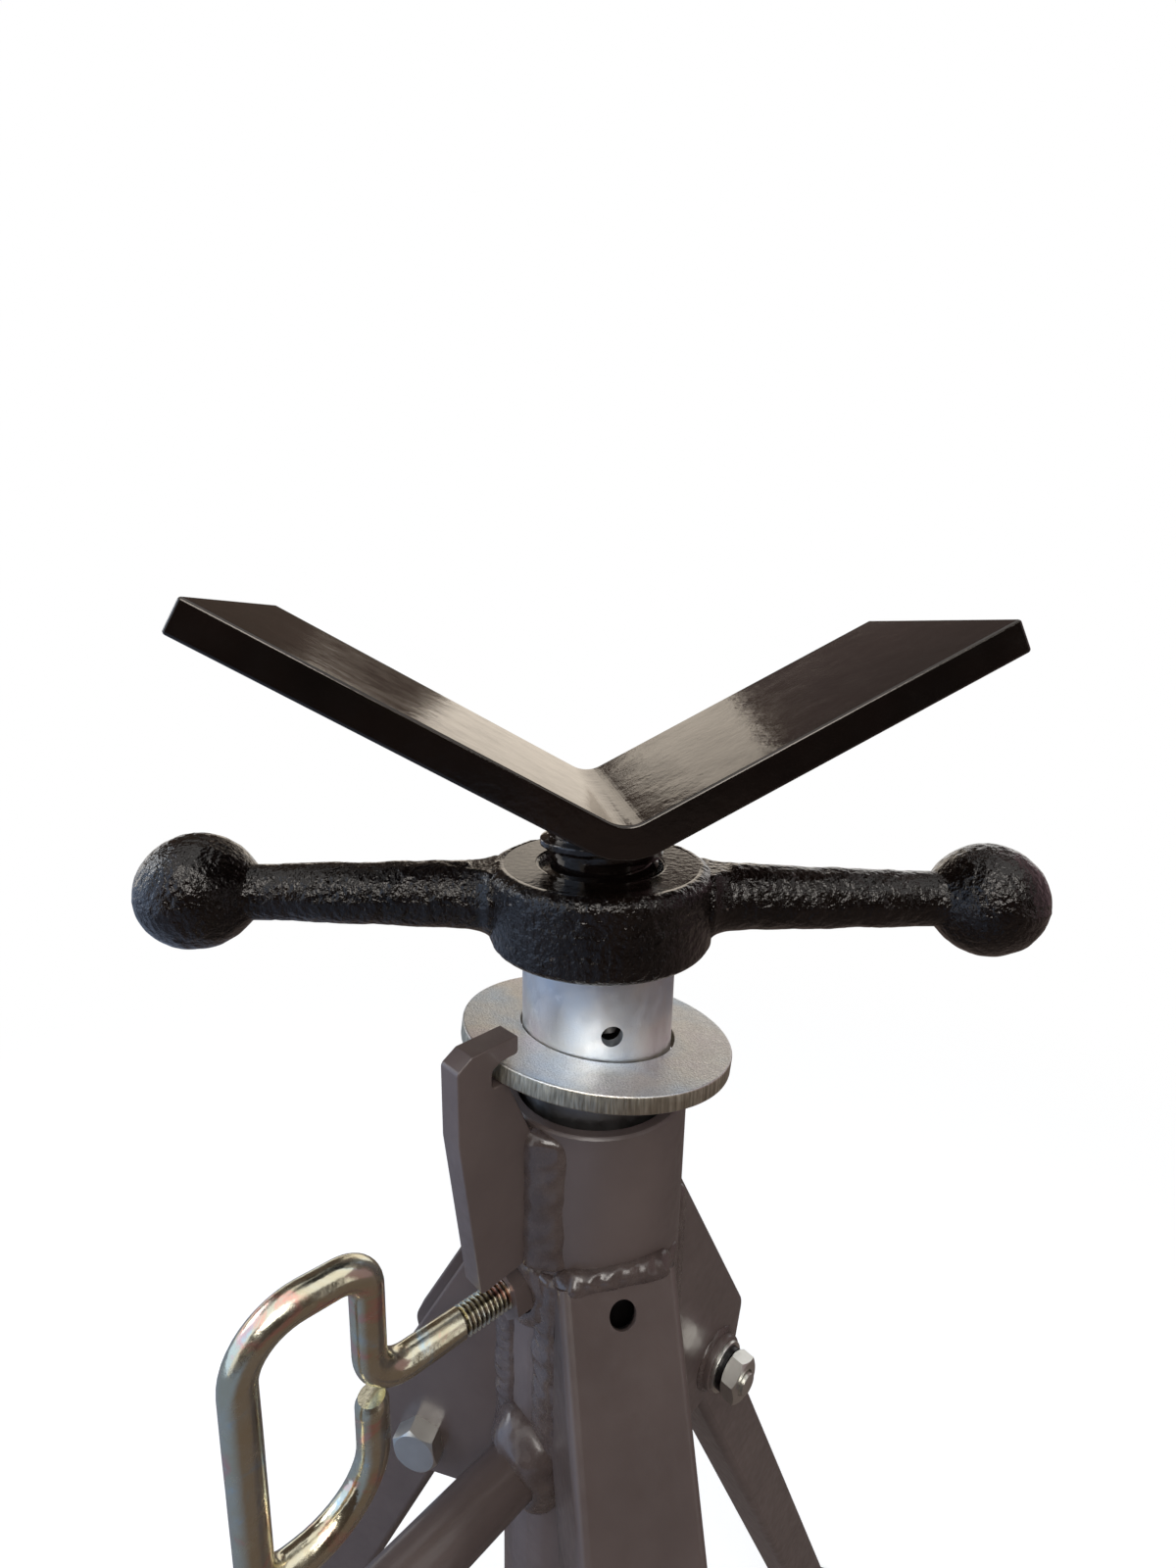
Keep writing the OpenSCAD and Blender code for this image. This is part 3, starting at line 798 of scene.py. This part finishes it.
def cast_arm(name, turn):
    """One arm of the nut with its ball."""
    along = level_dir(turn)
    across = Z.cross(along)
    lowest, highest = SEAT_Z + 0.6 * MM, SEAT_Z + HUB_H - 1.2 * MM
    rings = []
    for x, radius in arm_stations():
        ring = []
        for angle in circle(72):
            radial = across * math.cos(angle) + Z * math.sin(angle)
            point = Vector((0, AXIS_Y, ARM_Z)) + along * x + radial * radius
            point += radial * cast_relief(point, point.z - ARM_Z) * min(1.0, radius / (3 * MM))
            if x < HUB_R + 6 * MM:
                point.z = min(max(point.z, lowest), highest)
            ring.append(point)
        rings.append(ring)
    verts, faces = skin(rings)
    arm = piece(name, verts, faces, CAST, "nut", sharp=60)
    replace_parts(arm, "jack_nut")


# Weld beads

BEAD_STEP = 0.7 * MM
BEAD_ARC = 9
BEAD_ROOT = 0.8 * MM
BEAD_LUMP = 0.3 * MM
LEG_TOP_OUT = POST_R + 1.3 * MM


def bead(name, path, walls, bulge, pitch, seed, closed=False, chevron=0.9, ripple=0.3, body="frame",
         material=WELD):
    """A fillet weld along a path; walls gives the bead's reach over both surfaces at each point."""
    total = sum((b - a).length for a, b in zip(path, path[1:]))
    taper = walls[0][0].length * 0.9
    rings = []
    run = 0.0
    for i, point in enumerate(path):
        if i:
            run += (point - path[i - 1]).length
        first, second = walls[i]
        end = 1.0 if closed else rounded_end(min(run, total - run) / taper)
        drift = 1 + 0.16 * noise.noise(Vector((run * 110, seed, 0)))
        outward = (first.normalized() + second.normalized()).normalized()
        ring = [point - outward * BEAD_ROOT]
        for k in range(BEAD_ARC):
            u = k / (BEAD_ARC - 1)
            lump = BEAD_LUMP * noise.noise(point * 230 + Vector((u * 2, seed, 0)))
            height = bulge * bead_crown(u, run / pitch, chevron, ripple, seed) + lump
            ring.append(point + (first * ((1 - u) * drift) + second * (u * drift) + outward * height) * end)
        rings.append(ring)
    verts, faces = skin(rings, closed_path=closed)
    piece(name, verts, faces, material, body, sharp=60)


def rounded_end(part):
    """Size of a bead's section near its end, like a quarter circle."""
    return math.sqrt(max(0.02, 1 - (1 - min(1.0, part)) ** 2))


def bead_crown(u, turns, chevron, ripple, seed):
    """Height of a bead across its width: a round crown with curved ripples."""
    phase = turns - chevron * (2 * u - 1) ** 2 + 0.45 * noise.noise(Vector((turns * 0.5, u * 2, seed)))
    wave = 0.5 + 0.5 * math.cos(math.tau * phase)
    return math.sqrt(max(0.0, 4 * u * (1 - u))) * (1.1 - ripple * (1 - wave))


def over_post(az, width):
    """The step from the post's surface at an azimuth to a surface point that far round it."""
    half = width / POST_R / 2
    return side_dir(az + math.degrees(half)) * (2 * POST_R * math.sin(half))


def upright_bead(name, az, side, z_low, z_high, reach, bulge, pitch, seed, ripple=0.3):
    """Weld of a radial plate's face to the post, on one of its sides; reach is (over plate, over post)."""
    sign = 1 if side > 0 else -1
    turn = math.degrees(math.asin(side / POST_R))
    out = math.sqrt(POST_R ** 2 - side ** 2)
    count = math.ceil((z_high - z_low) / BEAD_STEP)
    path = [place(az, out, side, z_low + (z_high - z_low) * i / count) for i in range(count + 1)]
    walls = [(out_dir(az) * reach[0], over_post(az + turn, sign * reach[1]))] * len(path)
    bead(name, path, walls, bulge, pitch, seed, ripple=ripple)


def pipe_bead(name, az, z, radius, reach, bulge, pitch, seed, sag=0.0):
    """Weld round a bar that meets the post square on; sag makes it wider on its upper side."""
    path, walls = [], []
    for angle in circle(math.ceil(math.tau * radius / BEAD_STEP)):
        side, rise = radius * math.cos(angle), radius * math.sin(angle)
        path.append(place(az, math.sqrt(POST_R ** 2 - side ** 2), side, z + rise))
        over_bar, over_tube = reach[0] * (1 + sag * math.sin(angle)), reach[1] * (1 + sag * math.sin(angle))
        round_post = over_post(az + math.degrees(math.asin(side / POST_R)), over_tube * math.cos(angle))
        walls.append((out_dir(az) * over_bar, round_post + Z * (over_tube * math.sin(angle))))
    bead(name, path, walls, bulge, pitch, seed, closed=True, chevron=0.5)


def leg_top_height(out):
    """Height of the fixed leg's cut end at a distance from the post's axis."""
    length = (FOOT_R + FRONT_W / 2 * math.cos(SPLAY) - LEG_TOP_OUT) / math.sin(SPLAY)
    return (length + (out - FOOT_R) * math.sin(SPLAY)) / math.cos(SPLAY)


def leg_top_bead():
    """Weld over the top end of the fixed leg: from the post over the cut end to the leg's outer face."""
    half = math.degrees(math.asin(FRONT_W / 2 / POST_R)) + 1.5
    end_slope = out_dir(0) * math.cos(SPLAY) + Z * math.sin(SPLAY)
    down_leg = out_dir(0) * math.sin(SPLAY) - Z * math.cos(SPLAY)
    over_face, up_post = 2.4 * MM, 5 * MM
    steps = 80
    path, walls = [], []
    for i in range(steps + 1):
        az = -half + 2 * half * i / steps
        out = POST_R * math.cos(math.radians(az))
        path.append(place(az, POST_R, 0, leg_top_height(out)))
        over_end = end_slope * ((LEG_TOP_OUT - out) / math.cos(SPLAY)) + down_leg * over_face
        walls.append((over_end, Z * up_post))
    bead("leg_top_weld", path, walls, bulge=2.4 * MM, pitch=6 * MM, seed=3.1, chevron=0.4)


def leg_flank_bead(name, sign):
    """Weld down the seam between the fixed leg's side and the post."""
    side = sign * FRONT_W / 2
    z_high = leg_top_height(math.sqrt(POST_R ** 2 - side ** 2)) + 2 * MM
    upright_bead(name, 0, side, z_low=483 * MM, z_high=z_high, reach=(3.2 * MM, 7.5 * MM), bulge=1.0 * MM,
                 pitch=7 * MM, seed=5.0 + sign)


def rounded_square(half, corner):
    """Points of a square with rounded corners, each with the angle in which it faces."""
    outline = []
    for k in range(4):
        turn = math.pi / 2 * k
        middle = Vector((math.copysign(half - corner, math.cos(turn + 0.7)),
                         math.copysign(half - corner, math.sin(turn + 0.7)), 0))
        for j in range(7):
            a = turn + math.pi / 2 * j / 6
            outline.append((middle + level_dir(a) * corner, a))
    loop = []
    for (p, a), (q, b) in zip(outline, outline[1:] + outline[:1]):
        b = b if b >= a else b + math.tau
        pieces = max(1, math.ceil((q - p).length / BEAD_STEP))
        loop += [(p.lerp(q, k / pieces), a + (b - a) * k / pieces) for k in range(pieces)]
    return loop


def foot_bead(name, az, width, body):
    """Weld of a leaning square leg to its foot pad."""
    stretch = 1 / math.cos(SPLAY)
    shift = FOOT_R - PAD_T * math.tan(SPLAY)
    up_leg = (Z - out_dir(az) * math.tan(SPLAY)).normalized()
    reach = 4 * MM
    path, walls = [], []
    for p, a in rounded_square(width / 2, 3.5 * MM):
        path.append(place(az, shift + p.x * stretch, p.y, PAD_T))
        away = out_dir(az) * math.cos(a) + side_dir(az) * math.sin(a)
        walls.append((up_leg * reach, away * reach))
    bead(name, path, walls, 0.9 * MM, 3 * MM, az * 0.1, closed=True, chevron=0.5, body=body)


def boss_bead(name, az):
    """Small weld round a pivot boss."""
    path, walls = [], []
    for angle in circle(90):
        radial = out_dir(az) * math.cos(angle) + Z * math.sin(angle)
        path.append(place(az, PIVOT_R, -PLATE_OUT, PIVOT_Z) + radial * BOSS_R)
        walls.append((-side_dir(az) * 1.6 * MM, radial * 1.8 * MM))
    bead(name, path, walls, 0.3 * MM, 6 * MM, az * 0.2, closed=True, chevron=0.4, ripple=0.15)


def neck_bead():
    """Weld of the screw's plain end to the underside of the vee."""
    path, walls = [], []
    for angle in circle(120):
        radial = level_dir(angle)
        rise = abs(radial.dot(level_dir(VEE_TURN))) * math.tan(VEE_RISE)
        path.append(Vector((0, AXIS_Y, VEE_APEX - 0.2 * MM)) + radial * SCREW_R + Z * (rise * SCREW_R))
        walls.append((-Z * 2.2 * MM, (radial + Z * rise).normalized() * 4.5 * MM))
    bead("neck_weld", path, walls, 0.9 * MM, 4 * MM, 9.0, closed=True, chevron=0.5, body="head",
         material=BLACK)


# The dressed stand

NODES_BY_FINISH = (
    (PAINT, ("main_tube", "front_leg", "front_foot", "hook_plate", "clamp_nut", "carry_handle",
             "left_plate_head_side", "left_plate_nut_side", "right_plate_head_side", "right_plate_nut_side",
             "pivot_bosses", "rear_leg_left", "rear_foot_left", "rear_leg_right", "rear_foot_right")),
    (BLACK, ("vee_head", "screw_neck", "acme_screw")),
    (CAST, ("jack_nut",)),
    (SATIN, ("inner_tube",)),
    (DISC, ("friction_disc",)),
    (ROD, ("clamp_thread", "clamp_handle")),
    (BOLT, ("pivot_bolts", "pivot_washers", "pivot_nuts")),
    (SPRING, ("pivot_lock_washers",)),
)
EDGE_WIDTHS_MM = {
    "hook_plate": 0.5, "left_plate_head_side": 0.5, "left_plate_nut_side": 0.5, "right_plate_head_side": 0.5,
    "right_plate_nut_side": 0.5, "vee_head": 1.6, "clamp_nut": 0.6, "front_leg": 0.4, "rear_leg_left": 0.4,
    "rear_leg_right": 0.4, "main_tube": 0.3, "friction_disc": 0.25, "pivot_washers": 0.2, "pivot_bosses": 0.5,
    "carry_handle": 0.2,
}

for finish, node_names in NODES_BY_FINISH:
    for node_name in node_names:
        paint_node(node_name, finish)
for node_name, edge_width in EDGE_WIDTHS_MM.items():
    soften(node_name, edge_width * MM)

cast_hub()
cast_arm("cast_arm_right", NUT_TURN)
cast_arm("cast_arm_left", NUT_TURN + math.pi)
clamp_loop()
jack_thread = helix("jack_thread", Vector((0, AXIS_Y, SCREW_Z[0])), Z, SCREW_Z[1] - SCREW_Z[0],
                    SCREW_R - SCREW_PITCH / 2, SCREW_R, SCREW_PITCH, SCREW_RIDGE,
                    BLACK, "screw")
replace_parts(jack_thread, "acme_screw")
threaded_neck()
clamp_bar = helix("clamp_bar_thread", place(CLAMP_AZ, CLAMP_TIP, 0, CLAMP_Z), out_dir(CLAMP_AZ),
                  CLAMP_TURNS * CLAMP_PITCH, CLAMP_R - CLAMP_GROOVE, CLAMP_R, CLAMP_PITCH, CLAMP_RIDGE,
                  ROD_THREAD, "clamp_bar")
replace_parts(clamp_bar, "clamp_thread")
for label, az in (("left", LEFT_AZ), ("right", RIGHT_AZ)):
    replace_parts(pivot_bolt(az, "%s_bolt" % label), "pivot_bolts")
    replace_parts(pivot_nut(az, "%s_nut" % label), "pivot_nuts")
    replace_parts(lock_washer(az, "%s_lock_washer" % label), "pivot_lock_washers")
    boss_bead("%s_boss_weld" % label, az)
    for side_name, side in (("head", PLATE_OUT), ("nut", -PLATE_OUT)):
        upright_bead("%s_%s_plate_weld" % (label, side_name), az, side, z_low=455 * MM, z_high=571 * MM,
                     reach=(4.5 * MM, 5.5 * MM), bulge=1.3 * MM, pitch=4.2 * MM, seed=az * 0.3 + side * 100)

upright_bead("hook_weld_front", HOOK_AZ, HOOK_HALF, z_low=566 * MM, z_high=614.5 * MM,
             reach=(4.5 * MM, 10.5 * MM), bulge=1.4 * MM, pitch=8 * MM, seed=1.7, ripple=0.22)
upright_bead("hook_weld_back", HOOK_AZ, -HOOK_HALF, z_low=570 * MM, z_high=614 * MM,
             reach=(5 * MM, 7 * MM), bulge=1.4 * MM, pitch=7 * MM, seed=2.9, ripple=0.22)
leg_top_bead()
leg_flank_bead("leg_flank_weld_right", 1)
leg_flank_bead("leg_flank_weld_left", -1)
pipe_bead("grip_weld_top", HOOK_AZ, GRIP_TOP, GRIP_R, reach=(7 * MM, 7 * MM), bulge=2.2 * MM, pitch=9 * MM,
          seed=4.4, sag=0.35)
pipe_bead("grip_weld_low", HOOK_AZ, GRIP_LOW, GRIP_R, reach=(6 * MM, 6 * MM), bulge=1.8 * MM, pitch=7 * MM,
          seed=6.2, sag=0.2)
pipe_bead("clamp_nut_weld", CLAMP_AZ, CLAMP_Z, CLAMP_NUT_R, reach=(2.2 * MM, 5.5 * MM), bulge=1.0 * MM,
          pitch=6 * MM, seed=7.7)
foot_bead("front_foot_weld", 0, FRONT_W, "frame")
foot_bead("left_foot_weld", LEFT_AZ, REAR_W, "leg_left")
foot_bead("right_foot_weld", RIGHT_AZ, REAR_W, "leg_right")
neck_bead()


# Camera, floor, world and lamps

def photo_camera():
    """The camera that took the photograph, as solved from it."""
    data = bpy.data.cameras.new("photo_camera")
    camera = placed("photo_camera", data)
    photo_height, focal_length = 1600, 742.515
    data.sensor_width = 36
    data.lens = focal_length / photo_height * 36
    data.clip_start = 0.005
    data.clip_end = 50
    yaw, pitch, roll = math.radians(15.754), math.radians(12.144), math.radians(1.345)
    ahead = Vector((math.sin(yaw) * math.cos(pitch), math.cos(yaw) * math.cos(pitch), -math.sin(pitch)))
    right = Vector((math.cos(yaw), -math.sin(yaw), 0))
    up = right.cross(ahead)
    x = right * math.cos(roll) + up * math.sin(roll)
    y = up * math.cos(roll) - right * math.sin(roll)
    pose = Matrix((x, y, -ahead)).transposed().to_4x4()
    pose.translation = Vector((-0.06288, AXIS_Y - 0.205674, 0.76068))
    camera.matrix_world = pose
    bpy.context.scene.camera = camera


def seen_directly(tree):
    """1 for the camera and for what metal and glass show, 0 for light on the object."""
    path = tree.nodes.new("ShaderNodeLightPath")
    result = path.outputs["Is Camera Ray"]
    for other in ("Is Glossy Ray", "Is Transmission Ray"):
        either = tree.nodes.new("ShaderNodeMath")
        either.operation = "MAXIMUM"
        tree.links.new(result, either.inputs[0])
        tree.links.new(path.outputs[other], either.inputs[1])
        result = either.outputs["Value"]
    return result


def mixed(tree, fac, first, second):
    """A shader that goes from the first to the second as fac goes from 0 to 1."""
    mix = tree.nodes.new("ShaderNodeMixShader")
    tree.links.new(fac, mix.inputs["Fac"])
    tree.links.new(first, mix.inputs[1])
    tree.links.new(second, mix.inputs[2])
    return mix.outputs["Shader"]


def glow(tree, strength, colour=(1, 1, 1)):
    node = tree.nodes.new("ShaderNodeEmission")
    node.inputs["Color"].default_value = (*colour, 1)
    node.inputs["Strength"].default_value = strength
    return node.outputs["Emission"]


def diffuse(tree, level):
    node = tree.nodes.new("ShaderNodeBsdfDiffuse")
    node.inputs["Color"].default_value = (level, level, level, 1)
    return node.outputs["BSDF"]


def sheet(name, corners):
    """A four-sided sheet, and the node tree of its still empty material."""
    mesh = bpy.data.meshes.new(name)
    mesh.from_pydata(corners, [], [(0, 1, 2, 3)])
    mat = bpy.data.materials.new(name)
    mat.use_nodes = True
    tree = mat.node_tree
    tree.nodes.remove(tree.nodes["Principled BSDF"])
    mesh.materials.append(mat)
    return placed(name, mesh), tree


def floor():
    """A pale floor that keeps the object's shadow and fades into the white background."""
    size = 12
    own_grey, own_glow, bounced_grey = 0.55, 0.68, 0.8
    obj, tree = sheet("floor", [(-size, -size, 0), (size, -size, 0), (size, size, 0), (-size, size, 0)])
    shadowed = tree.nodes.new("ShaderNodeAddShader")
    tree.links.new(diffuse(tree, own_grey), shadowed.inputs[0])
    tree.links.new(glow(tree, own_glow), shadowed.inputs[1])
    coords = tree.nodes.new("ShaderNodeTexCoord")
    distance = tree.nodes.new("ShaderNodeVectorMath")
    distance.operation = "LENGTH"
    tree.links.new(coords.outputs["Object"], distance.inputs[0])
    fade = tree.nodes.new("ShaderNodeMapRange")
    fade.interpolation_type = "SMOOTHSTEP"
    fade.inputs["From Min"].default_value = 0.5
    fade.inputs["From Max"].default_value = 1.6
    tree.links.new(distance.outputs["Value"], fade.inputs["Value"])
    shown = mixed(tree, fade.outputs["Result"], shadowed.outputs["Shader"], glow(tree, 1.0))
    whole = mixed(tree, seen_directly(tree), diffuse(tree, bounced_grey), shown)
    tree.links.new(whole, tree.nodes["Material Output"].inputs["Surface"])


def world():
    """White where the camera, metal and glass see it, softer as a light."""
    made = bpy.data.worlds.new("studio")
    bpy.context.scene.world = made
    made.use_nodes = True
    tree = made.node_tree
    shown = tree.nodes["Background"]
    shown.inputs["Color"].default_value = (1, 1, 1, 1)
    light = tree.nodes.new("ShaderNodeBackground")
    light.inputs["Color"].default_value = (0.96, 0.98, 1, 1)
    light.inputs["Strength"].default_value = 0.38
    whole = mixed(tree, seen_directly(tree), light.outputs["Background"], shown.outputs["Background"])
    tree.links.new(whole, tree.nodes["World Output"].inputs["Surface"])


def glossy_only(name, corners, colour, strength):
    """A glowing four-sided sheet that only mirror-like surfaces see."""
    obj, tree = sheet(name, corners)
    tree.links.new(glow(tree, strength, colour), tree.nodes["Material Output"].inputs["Surface"])
    obj.visible_camera = False
    obj.visible_diffuse = False
    obj.visible_shadow = False
    obj.visible_transmission = False
    return tree


def card(name, az, rise, wide, tall, away, colour, strength=1.0):
    """A studio card placed and sized by angles seen from the vee; only mirror-like surfaces see it."""
    eye = Vector((0, AXIS_Y, 0.68))
    floor_gap = 0.02
    rise = math.radians(rise)
    facing = out_dir(az) * math.cos(rise) + Z * math.sin(rise)
    right = facing.cross(Z).normalized() * (away * math.tan(math.radians(wide / 2)))
    up = right.cross(facing).normalized() * (away * math.tan(math.radians(tall / 2)))
    middle = eye + facing * away
    middle.z = max(middle.z, abs(up.z) + floor_gap)
    corners = [middle - right - up, middle + right - up, middle + right + up, middle - right + up]
    glossy_only(name, corners, colour, strength)


def floor_card():
    """A glowing sheet on the floor that only mirror-like surfaces see: a painted dark reflection of the
    floor, bluer to the left.
    """
    reach, back, front, height = 3.5, 3.0, -4.5, 0.004
    corners = [(-reach, front, height), (reach, front, height), (reach, back, height), (-reach, back, height)]
    tree = glossy_only("floor_card", corners, (0, 0, 0), 1.0)
    coords = tree.nodes.new("ShaderNodeTexCoord")
    parts = tree.nodes.new("ShaderNodeSeparateXYZ")
    tree.links.new(coords.outputs["Object"], parts.inputs["Vector"])
    along = tree.nodes.new("ShaderNodeMapRange")
    along.inputs["From Min"].default_value = -0.55
    along.inputs["From Max"].default_value = -0.1
    tree.links.new(parts.outputs["X"], along.inputs["Value"])
    blend = tree.nodes.new("ShaderNodeMix")
    blend.data_type = "RGBA"
    blend.inputs["A"].default_value = (0.19, 0.24, 0.34, 1)
    blend.inputs["B"].default_value = (0.125, 0.1, 0.09, 1)
    tree.links.new(along.outputs["Result"], blend.inputs["Factor"])
    tree.links.new(blend.outputs["Result"], tree.nodes["Emission"].inputs["Color"])


def lamp(name, position, size, power, colour, glossy=False):
    """An area lamp aimed at the stand; metal shows it only if glossy is True."""
    data = bpy.data.lights.new(name, "AREA")
    data.shape = "RECTANGLE"
    data.size, data.size_y = size
    data.energy = power
    data.color = colour
    obj = placed(name, data)
    obj.location = position
    aim = Vector((0, AXIS_Y, 0.6)) - Vector(position)
    obj.rotation_mode = "QUATERNION"
    obj.rotation_quaternion = aim.to_track_quat("-Z", "Y")
    obj.visible_glossy = glossy


photo_camera()
floor()
world()
floor_card()

# Azimuth, rise, width and height in degrees, distance in metres, colour and strength of each card

card("front_card", -5, 5, 95, 70, 2.6, (0.05, 0.038, 0.033))
card("strip_light", -12, 36, 50, 5, 2.2, (1, 0.97, 0.92), 4.5)
card("left_card", -92, 8, 54, 50, 2.4, (0.42, 0.56, 0.8), 1.7)
card("window", -119, 18, 22, 20, 1.9, (0.9, 0.95, 1), 4.0)
card("right_card", 85, 12, 70, 50, 2.6, (0.26, 0.18, 0.2))
card("back_left_low_card", -152.8, 8.5, 73.6, 17, 3.0, (0.07, 0.052, 0.042))
card("back_left_high_card", -149.2, 34.5, 66.4, 35, 3.0, (0.07, 0.052, 0.042))
card("back_right_card", 138.2, 38, 52.4, 40, 3.0, (0.11, 0.085, 0.078))
card("warm_wall", 171, 14, 44, 44, 3.8, (1, 0.91, 0.79))

# Place and size in metres, power in watts and colour of each lamp

lamp("key", (-0.35, -1.2, 1.9), (0.9, 0.9), 13, (1, 0.97, 0.93), glossy=True)
lamp("fill", (1.5, -0.8, 1.5), (1.0, 1.0), 4, (1, 0.95, 0.95))
lamp("sky", (-1.9, 0.1, 0.9), (1.2, 1.0), 22, (0.6, 0.75, 1))
lamp("back", (0.1, 1.9, 1.9), (0.8, 0.35), 2, (1, 0.93, 0.85))

bpy.context.scene.view_settings.view_transform = "Standard"
